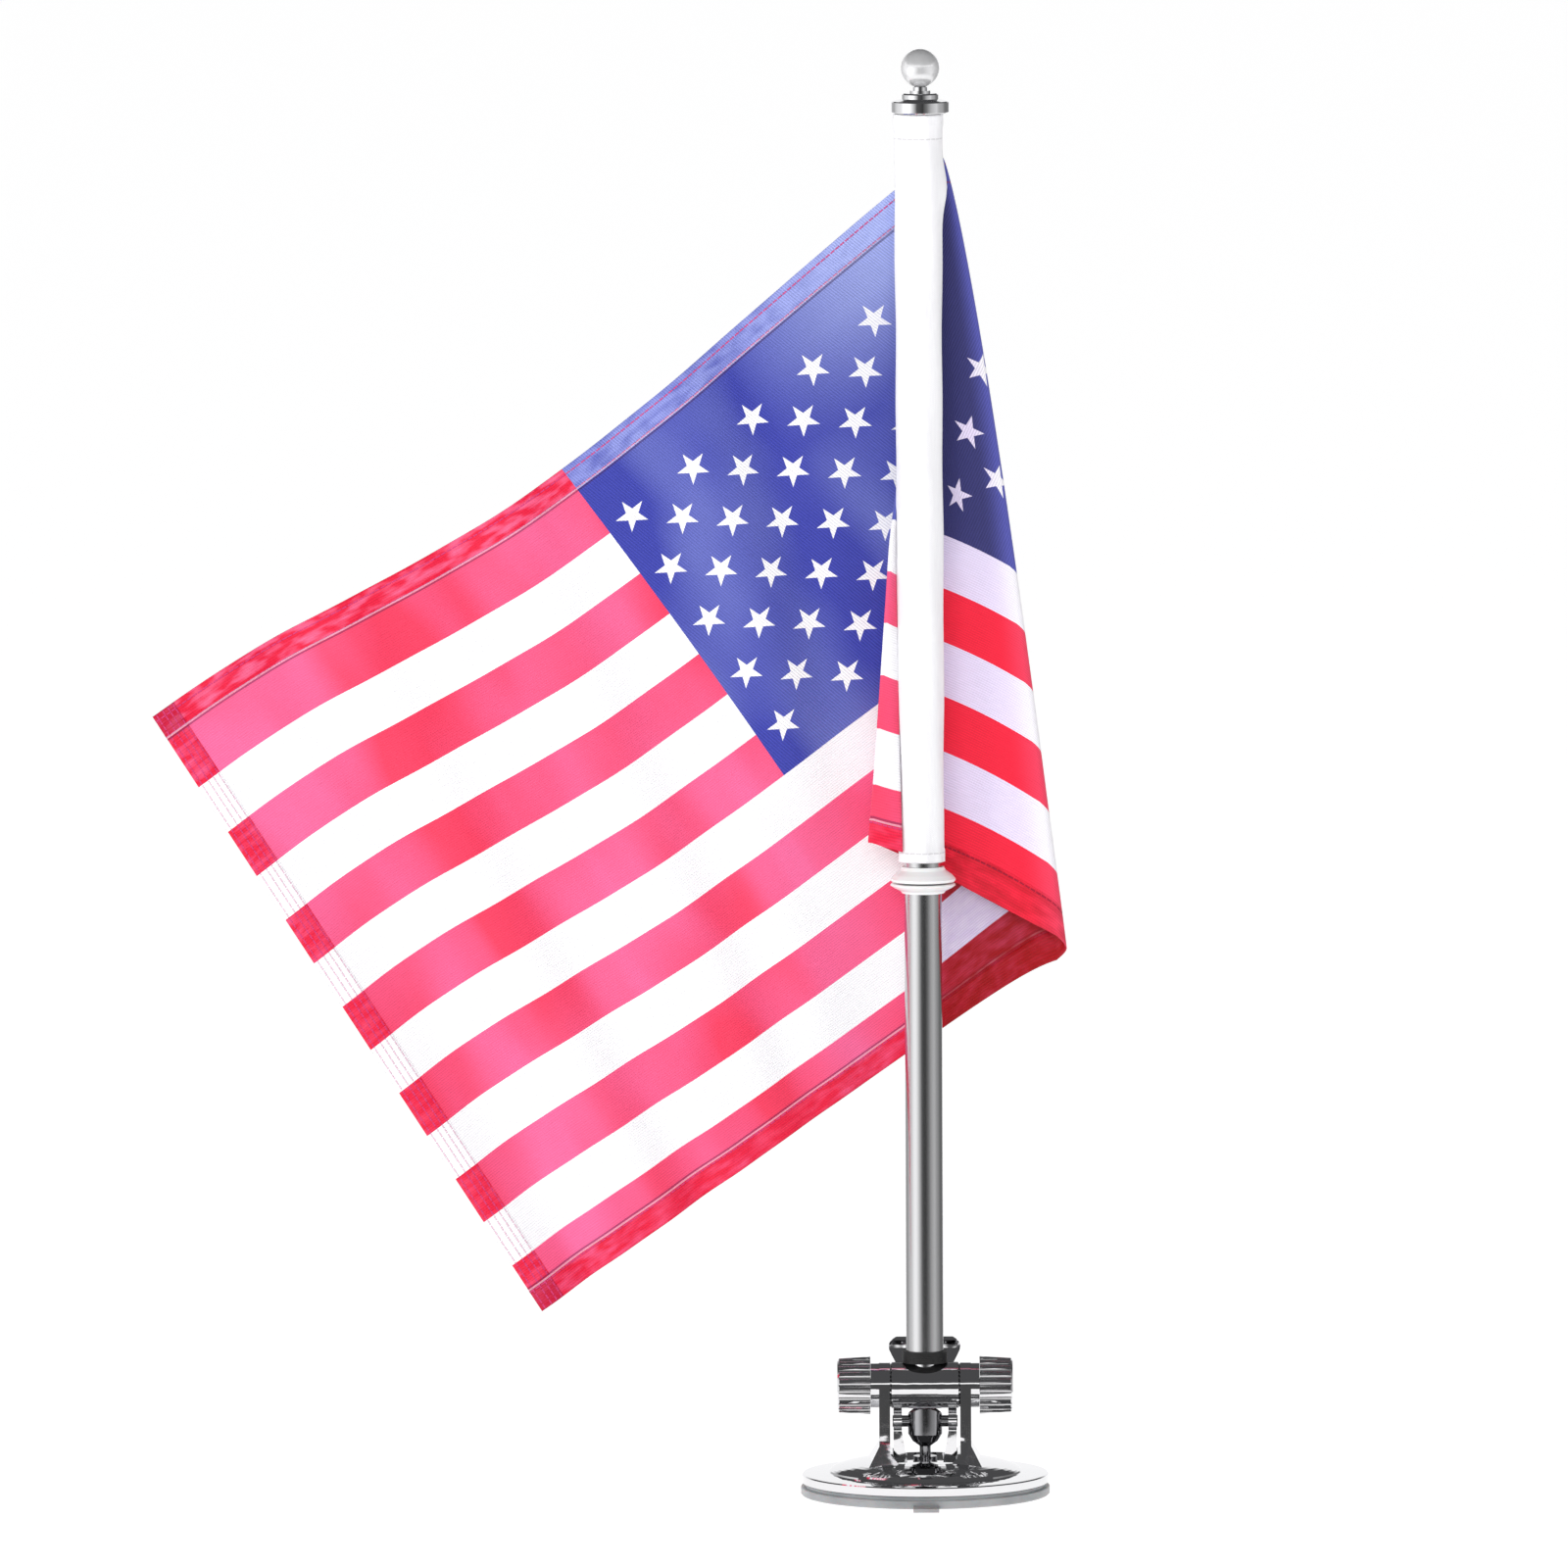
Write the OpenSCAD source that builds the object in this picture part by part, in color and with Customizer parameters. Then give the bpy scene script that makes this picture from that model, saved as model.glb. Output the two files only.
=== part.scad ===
// Desk flag stand: a lever suction base, a tilting pole in a clevis, and a folded flag on a sleeve.
// The origin is the centre of the suction pad's resting face, +Z is up the pole, -Y is the front.

/* [Suction base] */
// Diameter of the rubber suction pad
pad_d = 107; // [104:0.5:112]
// Height of the pad's visible side
pad_side_h = 3.6; // [3:0.1:4.2]
// Height of the shadow gap between pad and metal rim
pad_gap_h = 1.6; // [1:0.1:2]
// Height of the metal rim's side
rim_side_h = 4.0; // [3.5:0.1:5]
// Diameter of the dome where it meets the rim
dome_d = 83; // [80:0.5:86]
// Height of the dome above the rim
dome_h = 6.5; // [6:0.1:8]
// Width of the pull tab
tab_w = 11; // [9:0.5:14]
// How far the pull tab stands out from the pad
tab_reach = 11.5; // [8:0.5:14]

/* [Clevis] */
// Height of the tilt axis
tilt_z = 47; // [46.5:0.1:48]
// Gap between the two ears
ear_gap = 30.2; // [30:0.1:31]
// Thickness of one ear
ear_t = 4.65; // [4:0.05:5]
// Radius of an ear's round top
ear_r = 9.9; // [9:0.1:10.5]
// Length of a collar between ear and knob
collar_l = 3.65; // [3:0.05:4.5]
// Diameter of a collar
collar_d = 19.3; // [18:0.1:20]

/* [Knobs] */
// Length of a knob
knob_l = 14.3; // [12:0.1:16]
// Diameter of a knob at its inner end
knob_d_in = 25; // [24:0.1:27]
// Diameter of a knob at its outer end
knob_d_out = 23.5; // [22.5:0.1:24]
// Number of flutes round a knob
knob_flutes = 24; // [20:1:30]
// Diameter of a knob's screw
screw_d = 6; // [5:0.5:7]

/* [Tilt barrel] */
// Diameter of the barrel
barrel_d = 20; // [19:0.1:20.2]
// Length of the barrel
barrel_l = 29.4; // [28.5:0.1:29.6]
// Number of teeth on each end of the barrel and on each ear
teeth = 30; // [24:1:36]

/* [Lever] */
// Height of the lever's pin
lever_pin_z = 31.5; // [31.4:0.1:31.6]
// Diameter of the lever's pin
lever_pin_d = 5; // [4:0.5:5]
// Distance from the centre plane to the inner face of a cam arm
arm_in = 10; // [9.8:0.1:10.4]
// Thickness of a cam arm
arm_t = 3.6; // [3:0.1:3.8]
// Radius of a cam
cam_r = 4.8; // [4.6:0.1:4.9]
// Width of the lever's paddle above the arms
paddle_w = 25; // [24:0.5:27]
// Width of the lever's flared tip
tip_w = 31; // [29:0.5:33]

/* [Pole] */
// Outer diameter of the pole
pole_d = 16; // [15.8:0.1:16.2]
// Wall of the pole
pole_wall = 1; // [0.8:0.1:1.5]
// Thickness of the rubber washer under the pole
washer_h = 5; // [4:0.5:6]
// Diameter of the rubber washer
washer_d = 19.4; // [18:0.1:20]
// Height of the pole's top end
pole_top = 595.5; // [594:0.5:600]
// Diameter of the ball finial
ball_d = 16.5; // [15:0.5:18]

/* [Ring clip] */
// Height of the gap between the two ring halves
ring_z = 264.5; // [264:0.1:265]
// Outer diameter of the ring clip
ring_d = 28; // [26:0.5:28.4]
// Height of the upper ring half
ring_half_h = 6.4; // [6:0.1:7]
// Height of the lower ring half
ring_low_h = 4.2; // [3.6:0.1:6.4]

/* [Sleeve and flag] */
// Height of the sleeve's lower end
sleeve_low = 273.5; // [273:0.1:275]
// Outer diameter of the sleeve
sleeve_d = 19.4; // [19:0.1:19.6]
// Thickness of the plain flag solid
flag_t = 0.8; // [0.6:0.1:1]
// Depth of the ripples across the flag
ripple = 3; // [0:0.5:5]

/* [Hidden] */
$fn = 96;
big = 200;
fit = 0.05;

pad_r = pad_d / 2;
pad_top = pad_side_h + pad_gap_h;
pad_web_top = 3.9;
rim_r = pad_r - 0.5;
rim_top = pad_top + rim_side_h;
dome_r = dome_d / 2;
dome_foot_z = rim_top + 0.7;
dome_top = dome_foot_z + dome_h;
cavity_r = 38;
cavity_top = 9.5;
ledge_z = 11;

ear_in = ear_gap / 2;
ear_out = ear_in + ear_t;
collar_out = ear_out + collar_l;
knob_in = collar_out + 0.1;
knob_out = collar_out + knob_l;
screw_r = screw_d / 2;
tooth_h = 0.35;

pocket_x = 13.9;
pocket_y = 17;
plate_top = 14;
plate_bore_r = 5.3;
pad_block_top = lever_pin_z - 4.45;

stem_head_r = 7.35;
stem_head_low = 26;
stem_neck_r = 5;
stem_flange_r = 11;
stem_lift = 1.95;
cam_off_y = 1.83;
cam_off_z = 0.5;

barrel_top = tilt_z + barrel_d / 2;
washer_top = barrel_top + washer_h;
pole_r = pole_d / 2;
bore_r = pole_r - pole_wall;
stud_r = 4;
stud_low = 50.6;
stud_top = 76;
foot_plug_top = 82;
top_plug_low = 580;
finial_stud_r = 2.5;
cap_step_1 = pole_top + 6;
cap_step_2 = cap_step_1 + 2.4;
cap_step_3 = cap_step_2 + 1.1;
ball_r = ball_d / 2;
ball_z = cap_step_3 + 9.6;

sleeve_top = pole_top - 0.5;
sleeve_r = sleeve_d / 2;
sleeve_bore_r = pole_r + 0.4;

// The flag folds twice on its way from the hoist seam to the fly: round a front fold at the left of
// the sleeve, then round a right fold behind it. Each place is given at the bottom and top row.
hoist_low = 278;
hoist_high = 577;
seam_r = sleeve_r + 0.1 + flag_t / 2;
seam_angle_low = 35;
seam_angle_high = 12;
front_fold_low = [-23.2, 282];
front_fold_high = [-12, 577];
front_fold_y = -3.2;
front_fold_r = 1.5;
right_fold_low = [61.8, 233.7];
right_fold_high = [9.6, 577.6];
right_fold_r = 2;
middle_y = 15.8;
wrap_r = 10.6;
fly_low = [-164.5, 79];
fly_high = [-330.4, 336.6];
fly_y = 9;
top_sag = 19.4;
mid_sag = 3.9;

function mix(a, b, t) = a + (b - a) * t;
function ease(t) = 1 - pow(1 - min(t, 1), 2);

function seam_at(w) =
    let (a = mix(seam_angle_low, seam_angle_high, w))
    [-seam_r * cos(a), -seam_r * sin(a), mix(hoist_low, hoist_high, w)];
function front_fold_at(w) =
    [mix(front_fold_high[0], front_fold_low[0], pow(max(0, 1 - w / 0.55), 1.1)),
     mix(front_fold_low[1], front_fold_high[1], w)];
function right_fold_at(w) =
    [mix(right_fold_high[0], right_fold_low[0], pow(1 - w, 0.79)),
     mix(right_fold_low[1], right_fold_high[1], w)];

// One point of a row at height w (0 bottom, 1 top). A station is [stretch, place along it].
function strip_at(t, w) =
    let (f = front_fold_at(w))
    mix(seam_at(w), [f[0] + front_fold_r, front_fold_y - front_fold_r, f[1]], t);
function front_turn_at(t, w) =
    let (f = front_fold_at(w), a = -90 - 180 * t)
    [f[0] + front_fold_r * (1 + cos(a)), front_fold_y + front_fold_r * sin(a), f[1]];
function clear_of_sleeve(p) =
    let (r = norm([p[0], p[1]]), out = max(wrap_r, r) / r)
    [p[0] * out, p[1] * out, p[2]];
function middle_at(t, w) =
    let (f = front_fold_at(w), g = right_fold_at(w), y = front_fold_y + front_fold_r)
    clear_of_sleeve([mix(f[0] + front_fold_r, g[0] - right_fold_r, t),
                     mix(y, middle_y, ease(t / 0.35)), mix(f[1], g[1], t)]);
function right_turn_at(t, w) =
    let (g = right_fold_at(w), a = -90 + 180 * t)
    [g[0] + right_fold_r * (cos(a) - 1), middle_y + right_fold_r * (1 + sin(a)), g[1]];
function main_at(t, w) =
    let (g = right_fold_at(w), e = mix(fly_low, fly_high, w), y = middle_y + 2 * right_fold_r)
    [mix(g[0] - right_fold_r, e[0], t),
     mix(y, fly_y, t) + ripple * t * sin(900 * t + 60 * w),
     mix(g[1], e[1], t) - (top_sag * w + mid_sag * 4 * w * (1 - w)) * pow(sin(180 * t), 1.4)];
function flag_at(station, w) =
    station[0] == 0 ? strip_at(station[1], w)
    : station[0] == 1 ? front_turn_at(station[1], w)
    : station[0] == 2 ? middle_at(station[1], w)
    : station[0] == 3 ? right_turn_at(station[1], w)
    : main_at(station[1], w);

flag_stations = concat(
    [for (i = [0:1]) [0, i / 2]],
    [for (i = [0:4]) [1, i / 4]],
    [for (i = [1:6]) [2, 0.03 * i]],
    [for (i = [1:8]) [2, 0.18 + 0.82 * i / 9]],
    [for (i = [0:4]) [3, i / 4]],
    [for (i = [1:26]) [4, i / 26]]);
flag_rows = 13;

module along_x(x) {
    translate([x, 0, tilt_z]) rotate([0, 90, 0]) children();
}

module both_sides() {
    children();
    mirror([1, 0, 0]) children();
}

// A ring of radial teeth on a face at x, standing out along +X
module tooth_ring(x, inner_r, outer_r) {
    for (i = [0:teeth - 1])
        translate([x, 0, tilt_z]) rotate([360 * i / teeth, 0, 0])
            translate([0, inner_r, 0]) rotate([-90, 0, 0])
                linear_extrude(outer_r - inner_r)
                    polygon([[-0.2, -0.75], [tooth_h, 0], [-0.2, 0.75]]);
}

module suction_pad() {
    color([0.62, 0.63, 0.64]) union() {
        rotate_extrude()
            polygon([[0, 0], [pad_r - 14, 0], [pad_r - 13.5, 0.5], [pad_r - 12.5, 0.5], [pad_r - 12, 0],
                     [pad_r - 8, 0], [pad_r - 7.5, 0.5], [pad_r - 6.5, 0.5], [pad_r - 6, 0],
                     [pad_r - 0.6, 0], [pad_r, 0.6], [pad_r, pad_side_h - 0.3],
                     [pad_r - 0.3, pad_side_h], [pad_r - 1.7, pad_side_h], [pad_r - 1.7, pad_top],
                     [cavity_r + 4, pad_top], [cavity_r, pad_web_top], [0, pad_web_top]]);
        translate([-tab_w / 2, -pad_r - tab_reach, 0.1]) cube([tab_w, tab_reach + 4, 1.6]);
    }
}

// Half of the foot that carries one ear, as the overlap of two tapered profiles
module foot() {
    intersection() {
        rotate([90, 0, 0]) translate([0, 0, -30]) linear_extrude(60)
            polygon([[ear_in, 30], [ear_out, 30], [ear_out, 22], [ear_out + 4.6, 13.8],
                     [ear_out + 4.6, 10.5], [10.5, 10.5], [10.5, 14.2], [ear_in, 19]]);
        rotate([90, 0, 90]) linear_extrude(40)
            polygon([[-ear_r, 31], [ear_r, 31], [ear_r, 24], [22, 13.5], [22, 10], [-22, 10],
                     [-22, 13.5], [-ear_r, 24]]);
    }
}

module base_housing() {
    dome_steps = 14;
    color([0.80, 0.81, 0.83]) difference() {
        union() {
            rotate_extrude()
                polygon(concat(
                    [[0, pad_top], [rim_r - 0.3, pad_top], [rim_r, pad_top + 0.3],
                     [rim_r, rim_top - 0.5], [rim_r - 0.5, rim_top], [dome_r, dome_foot_z]],
                    [for (i = [1:dome_steps])
                        let (a = 90 * i / dome_steps)
                        [dome_r * cos(a), dome_foot_z + dome_h * sin(a)]]));
            both_sides() {
                foot();
                along_x(ear_in) cylinder(h = ear_t, r = ear_r);
                translate([ear_in, -ear_r, 12]) cube([ear_t, 2 * ear_r, tilt_z - 12]);
                mirror([1, 0, 0]) tooth_ring(-ear_in, screw_r + 2, ear_r - 0.6);
            }
        }
        both_sides() along_x(ear_in - 1) cylinder(h = ear_t + 2, r = screw_r + fit);
        translate([0, 0, pad_top - 1]) cylinder(h = cavity_top - pad_top + 1, r = cavity_r);
        translate([-pocket_x, -pocket_y, ledge_z])
            cube([2 * pocket_x, 2 * pocket_y, big]);
        translate([-pocket_x + 3, -pocket_y + 3, cavity_top - 1])
            cube([2 * pocket_x - 6, 2 * pocket_y - 6, big]);
    }
}

module cam_plate() {
    slot = 0.1;
    block_w = 6.4;
    color([0.78, 0.79, 0.80]) difference() {
        union() {
            translate([-pocket_x + slot, -pocket_y + slot, ledge_z])
                cube([2 * (pocket_x - slot), 2 * (pocket_y - slot), plate_top - ledge_z]);
            both_sides() rotate([90, 0, 0]) translate([0, 0, -block_w / 2]) linear_extrude(block_w)
                polygon([[7.6, plate_top - 1], [13.6, plate_top - 1], [13.6, 21],
                         [arm_in + arm_t, pad_block_top], [arm_in, pad_block_top], [8.4, 18]]);
        }
        translate([0, 0, ledge_z - 1]) cylinder(h = 20, r = plate_bore_r);
    }
}

module collar(side) {
    color([0.82, 0.82, 0.84]) mirror([side < 0 ? 1 : 0, 0, 0]) difference() {
        along_x(ear_out) cylinder(h = collar_l, d = collar_d);
        along_x(ear_out - 1) cylinder(h = collar_l + 2, r = screw_r + fit);
    }
}

module collar_left() { collar(-1); }

module collar_right() { collar(1); }

module suction_stem() {
    saddle_r = barrel_d / 2 + 0.4;
    guide_top = plate_top + stem_lift + 0.5;
    waist_r = 2.4;
    bowl_low = 20.8;
    bowl_mid = 22.9;
    color([0.35, 0.35, 0.37]) difference() {
        union() {
            translate([0, 0, pad_web_top]) cylinder(h = 2.5, r = stem_flange_r);
            translate([0, 0, pad_web_top]) cylinder(h = guide_top - pad_web_top, r = stem_neck_r);
            translate([0, 0, guide_top - 1]) cylinder(h = stem_head_low - guide_top, r = waist_r);
            translate([0, 0, bowl_low]) cylinder(h = bowl_mid - bowl_low, r1 = waist_r, r2 = 5.4);
            translate([0, 0, bowl_mid]) cylinder(h = stem_head_low - bowl_mid, r1 = 5.4, r2 = stem_head_r);
            translate([0, 0, stem_head_low]) cylinder(h = 11.4, r = stem_head_r);
        }
        translate([-big / 2, 0, tilt_z - stem_lift]) rotate([0, 90, 0]) cylinder(h = big, r = saddle_r);
        translate([-20, 0, lever_pin_z]) rotate([0, 90, 0])
            cylinder(h = 40, d = lever_pin_d + fit);
    }
}

module lever_pin() {
    pin_l = 2 * (arm_in + arm_t) + 0.8;
    color([0.7, 0.7, 0.72]) translate([-pin_l / 2, 0, lever_pin_z]) rotate([0, 90, 0])
        cylinder(h = pin_l, d = lever_pin_d);
}

// Side outline of the lever in the YZ plane, from its cam up behind the barrel to the curled tip
module lever_outline() {
    translate([cam_off_y, lever_pin_z + cam_off_z]) circle(r = cam_r);
    polygon([[cam_off_y, lever_pin_z - 2], [6, lever_pin_z + 0.5], [9.5, lever_pin_z + 1.2],
             [15.8, 35.5], [18.2, 41], [20.2, 52], [23.2, 56.2], [25.2, 60.2], [25.2, 63.2],
             [23.4, 65.2], [20.4, 65.6], [20.0, 64.0], [22.0, 63.2], [22.8, 61.8], [22.5, 60.4],
             [20.9, 57.4], [18.2, 53], [16.0, 43], [13, 38.4], [8, 36.2], [cam_off_y, 36.4]]);
}

module lever() {
    arm_out = arm_in + arm_t;
    paddle_side = [[paddle_w / 2 + 0.5, 41], [paddle_w / 2, 54.5], [tip_w / 2 - 1.4, 57.4],
                   [tip_w / 2 - 0.3, 59.6], [tip_w / 2, 61.4], [tip_w / 2 - 0.5, 63],
                   [tip_w / 2 - 1.8, 64.6], [tip_w / 2 - 4, 66]];
    color([0.80, 0.81, 0.83]) difference() {
        union() {
            both_sides() intersection() {
                translate([arm_in, 0, 0]) rotate([90, 0, 90]) linear_extrude(arm_t) lever_outline();
                translate([0, -10, 20]) cube([arm_out, 40, 24]);
            }
            intersection() {
                translate([-tip_w / 2, 0, 0]) rotate([90, 0, 90]) linear_extrude(tip_w)
                    lever_outline();
                rotate([90, 0, 0]) translate([0, 0, -30]) linear_extrude(30)
                    polygon(concat(paddle_side,
                                   [for (i = [len(paddle_side) - 1 : -1 : 0])
                                       [-paddle_side[i][0], paddle_side[i][1]]]));
            }
        }
        translate([-20, 0, lever_pin_z]) rotate([0, 90, 0])
            cylinder(h = 40, d = lever_pin_d + 2 * fit);
    }
}

module knob(side) {
    flute_r = 1.15;
    color([0.82, 0.82, 0.84]) mirror([side < 0 ? 1 : 0, 0, 0]) difference() {
        along_x(knob_in) rotate_extrude()
            polygon([[screw_r, 0], [knob_d_in / 2, 0], [knob_d_out / 2, knob_l - 0.9],
                     [knob_d_out / 2 - 0.8, knob_l - 0.1], [screw_r, knob_l - 0.1]]);
        for (i = [0:knob_flutes - 1])
            translate([knob_in - 1, 0, tilt_z]) rotate([360 * (i + 0.5) / knob_flutes, 0, 0])
                translate([0, 0, knob_d_in / 2 + 0.1]) rotate([0, 90, 0])
                    cylinder(h = knob_l + 2, r = flute_r);
    }
}

module knob_left() { knob(-1); }

module knob_right() { knob(1); }

module knob_screw(side) {
    screw_in = 5.5;
    color([0.6, 0.6, 0.62]) mirror([side < 0 ? 1 : 0, 0, 0])
        along_x(screw_in) cylinder(h = knob_out - 1.5 - screw_in, r = screw_r);
}

module knob_screw_left() { knob_screw(-1); }

module knob_screw_right() { knob_screw(1); }

module tilt_barrel() {
    seat_d = 11;
    half = barrel_l / 2;
    color([0.81, 0.82, 0.84]) difference() {
        union() {
            along_x(-half + tooth_h) cylinder(h = barrel_l - 2 * tooth_h, d = barrel_d);
            both_sides() tooth_ring(half - tooth_h, screw_r + 2, barrel_d / 2 - 0.5);
            translate([0, 0, tilt_z]) cylinder(h = barrel_d / 2, d = seat_d);
        }
        along_x(-half - 1) cylinder(h = barrel_l + 2, r = screw_r + fit);
        translate([0, 0, stud_low - 0.1]) cylinder(h = 20, r = stud_r + fit);
    }
}

module rubber_washer() {
    color([0.06, 0.06, 0.06]) translate([0, 0, barrel_top]) difference() {
        cylinder(h = washer_h, d = washer_d);
        translate([0, 0, -1]) cylinder(h = washer_h + 2, r = stud_r + fit);
    }
}

module pole_stud() {
    color([0.62, 0.62, 0.64]) translate([0, 0, stud_low]) cylinder(h = stud_top - stud_low, r = stud_r);
}

module pole_foot_plug() {
    color([0.7, 0.7, 0.72]) difference() {
        translate([0, 0, washer_top]) cylinder(h = foot_plug_top - washer_top, r = bore_r - fit);
        translate([0, 0, washer_top - 1]) cylinder(h = stud_top - washer_top + 1.5, r = stud_r + fit);
    }
}

module pole_tube() {
    color([0.75, 0.75, 0.76]) translate([0, 0, washer_top]) difference() {
        cylinder(h = pole_top - washer_top, r = pole_r);
        translate([0, 0, -1]) cylinder(h = pole_top - washer_top + 2, r = bore_r);
    }
}

module pole_top_plug() {
    color([0.7, 0.7, 0.72]) difference() {
        translate([0, 0, top_plug_low]) cylinder(h = pole_top - top_plug_low, r = bore_r - fit);
        translate([0, 0, top_plug_low + 2]) cylinder(h = 40, r = finial_stud_r + fit);
    }
}

module pole_cap() {
    color([0.83, 0.83, 0.85]) rotate_extrude()
        polygon([[finial_stud_r + fit, pole_top], [12, pole_top], [12.4, pole_top + 0.4],
                 [12.4, cap_step_1 - 1.4], [12, cap_step_1 - 1], [7.9, cap_step_1],
                 [7.9, cap_step_2 - 0.6], [7.3, cap_step_2], [4.45, cap_step_2],
                 [4.45, cap_step_3], [3.05, cap_step_3], [3.05, cap_step_3 + 1.5],
                 [finial_stud_r + fit, cap_step_3 + 1.5]]);
}

module finial_ball() {
    color([0.83, 0.83, 0.85]) difference() {
        translate([0, 0, ball_z]) sphere(r = ball_r);
        translate([0, 0, ball_z - ball_r - 1]) cylinder(h = ball_r + 1, r = finial_stud_r + fit);
        translate([0, 0, ball_z - ball_r - 4]) cylinder(h = 4.2, r = 6);
    }
}

module finial_stud() {
    color([0.62, 0.62, 0.64]) translate([0, 0, top_plug_low + 2])
        cylinder(h = ball_z - 0.2 - top_plug_low - 2, r = finial_stud_r);
}

// One dished half of the ring clip, wide at its flat side and narrow at h
module ring_half(h, bore_r) {
    rotate_extrude()
        polygon([[bore_r, 0], [ring_d / 2 - 0.5, 0], [ring_d / 2, 0.5], [ring_d / 2, 0.2 * h],
                 [ring_d / 2 - 1.6, 0.47 * h], [ring_d / 2 - 4.2, 0.77 * h], [9.1, h],
                 [bore_r, h]]);
}

module ring_lower() {
    color([0.95, 0.95, 0.94]) translate([0, 0, ring_z - 0.4]) mirror([0, 0, 1])
        ring_half(ring_low_h, pole_r + fit);
}

module ring_spacer() {
    color([0.55, 0.55, 0.56]) translate([0, 0, ring_z - 0.4]) difference() {
        cylinder(h = 0.7, r = 9.3);
        translate([0, 0, -1]) cylinder(h = 3, r = pole_r + fit);
    }
}

module ring_upper() {
    color([0.95, 0.95, 0.94]) translate([0, 0, ring_z + 0.4])
        ring_half(ring_half_h, pole_r + fit);
}

module flag_sleeve() {
    color([0.93, 0.92, 0.90]) translate([0, 0, sleeve_low]) difference() {
        cylinder(h = sleeve_top - sleeve_low, r = sleeve_r);
        translate([0, 0, -1]) cylinder(h = sleeve_top - sleeve_low + 2, r = sleeve_bore_r);
    }
}

// The flag as a thin closed sheet: a grid of points along the folded rows, offset both ways
module flag() {
    n = len(flag_stations);
    m = flag_rows;
    mid = [for (s = flag_stations) for (j = [0:m - 1]) flag_at(s, j / (m - 1))];
    along = [for (i = [0:n - 1]) for (j = [0:m - 1])
        mid[min(i + 1, n - 1) * m + j] - mid[max(i - 1, 0) * m + j]];
    up = [for (i = [0:n - 1]) for (j = [0:m - 1])
        mid[i * m + min(j + 1, m - 1)] - mid[i * m + max(j - 1, 0)]];
    side = [for (k = [0:n * m - 1])
        let (c = cross(along[k], up[k])) c * flag_t / (2 * norm(c))];
    total = n * m;
    color([0.85, 0.18, 0.28]) polyhedron(
        points = concat([for (k = [0:total - 1]) mid[k] + side[k]],
                        [for (k = [0:total - 1]) mid[k] - side[k]]),
        faces = concat(
            [for (i = [0:n - 2]) for (j = [0:m - 2]) for (f = [0, 1])
                let (a = i * m + j, b = a + m)
                f == 0 ? [a, a + 1, b + 1] : [a, b + 1, b]],
            [for (i = [0:n - 2]) for (j = [0:m - 2]) for (f = [0, 1])
                let (a = total + i * m + j, b = a + m)
                f == 0 ? [a, b + 1, a + 1] : [a, b, b + 1]],
            [for (i = [0:n - 2]) for (j = [0, m - 1])
                let (a = i * m + j, b = a + m)
                j == 0 ? [a, b, b + total, a + total] : [a, a + total, b + total, b]],
            [for (j = [0:m - 2]) for (i = [0, n - 1])
                let (a = i * m + j, b = a + 1)
                i == 0 ? [a, a + total, b + total, b] : [a, b, b + total, a + total]]));
}

suction_pad();
base_housing();
cam_plate();
collar_left();
collar_right();
suction_stem();
lever_pin();
lever();
knob_left();
knob_right();
knob_screw_left();
knob_screw_right();
tilt_barrel();
rubber_washer();
pole_stud();
pole_foot_plug();
pole_tube();
pole_top_plug();
pole_cap();
finial_ball();
finial_stud();
ring_lower();
ring_spacer();
ring_upper();
flag_sleeve();
flag();
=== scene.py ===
import math

import bpy
import numpy as np
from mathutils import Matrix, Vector


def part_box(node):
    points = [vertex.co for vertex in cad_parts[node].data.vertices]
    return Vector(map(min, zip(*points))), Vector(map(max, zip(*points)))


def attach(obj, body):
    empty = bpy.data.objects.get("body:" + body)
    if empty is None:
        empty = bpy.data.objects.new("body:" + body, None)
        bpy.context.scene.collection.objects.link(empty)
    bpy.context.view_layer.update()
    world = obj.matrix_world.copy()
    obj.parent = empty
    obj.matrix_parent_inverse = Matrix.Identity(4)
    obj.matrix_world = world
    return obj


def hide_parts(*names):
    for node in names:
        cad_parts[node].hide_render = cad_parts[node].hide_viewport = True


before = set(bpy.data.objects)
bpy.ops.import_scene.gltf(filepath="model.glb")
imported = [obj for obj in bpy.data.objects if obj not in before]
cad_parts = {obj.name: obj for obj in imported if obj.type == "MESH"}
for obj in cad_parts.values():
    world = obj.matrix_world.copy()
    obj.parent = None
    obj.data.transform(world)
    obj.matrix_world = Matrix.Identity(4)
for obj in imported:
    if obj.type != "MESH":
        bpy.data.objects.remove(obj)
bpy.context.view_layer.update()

MM = 0.001

# ---------------------------------------------------------------- shader helpers


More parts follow.
